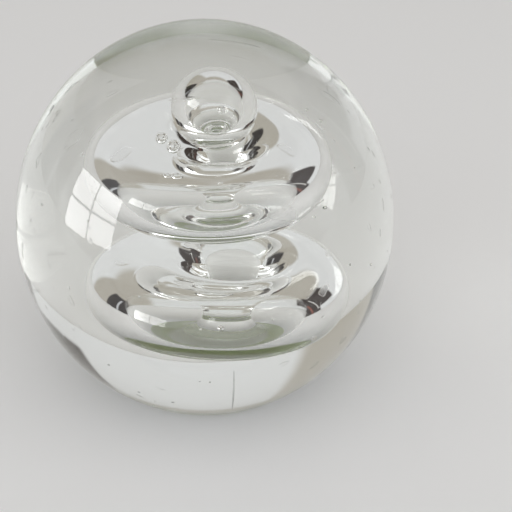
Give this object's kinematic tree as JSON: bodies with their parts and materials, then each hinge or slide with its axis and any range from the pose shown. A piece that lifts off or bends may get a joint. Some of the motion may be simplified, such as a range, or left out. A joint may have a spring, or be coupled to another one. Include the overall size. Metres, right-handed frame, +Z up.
{
  "type": "glass paperweight",
  "caption": "Clear egg-round glass paperweight with a flat ground foot and trapped air on its axis: a ball above flattened rings around a waisted core.",
  "frame": {"origin": "centre of the flat ground foot, on the surface it stands on", "axes": "+Z up along the axis of revolution, through the ball, both rings and the core; +X and +Y are free, because the form is round"},
  "size_m": [0.1, 0.1, 0.0965],
  "materials": {
    "core_glass": "clear fire-polished glass, faintly green",
    "cover_glass": "clear fire-polished glass, faintly green",
    "outer_glass": "clear polished glass with fine wear, ground and polished foot"
  },
  "bodies": {
    "root": {"core_gather": "core_glass", "cover_gather": "cover_glass", "outer_gather": "outer_glass"}
  },
  "joints": []
}
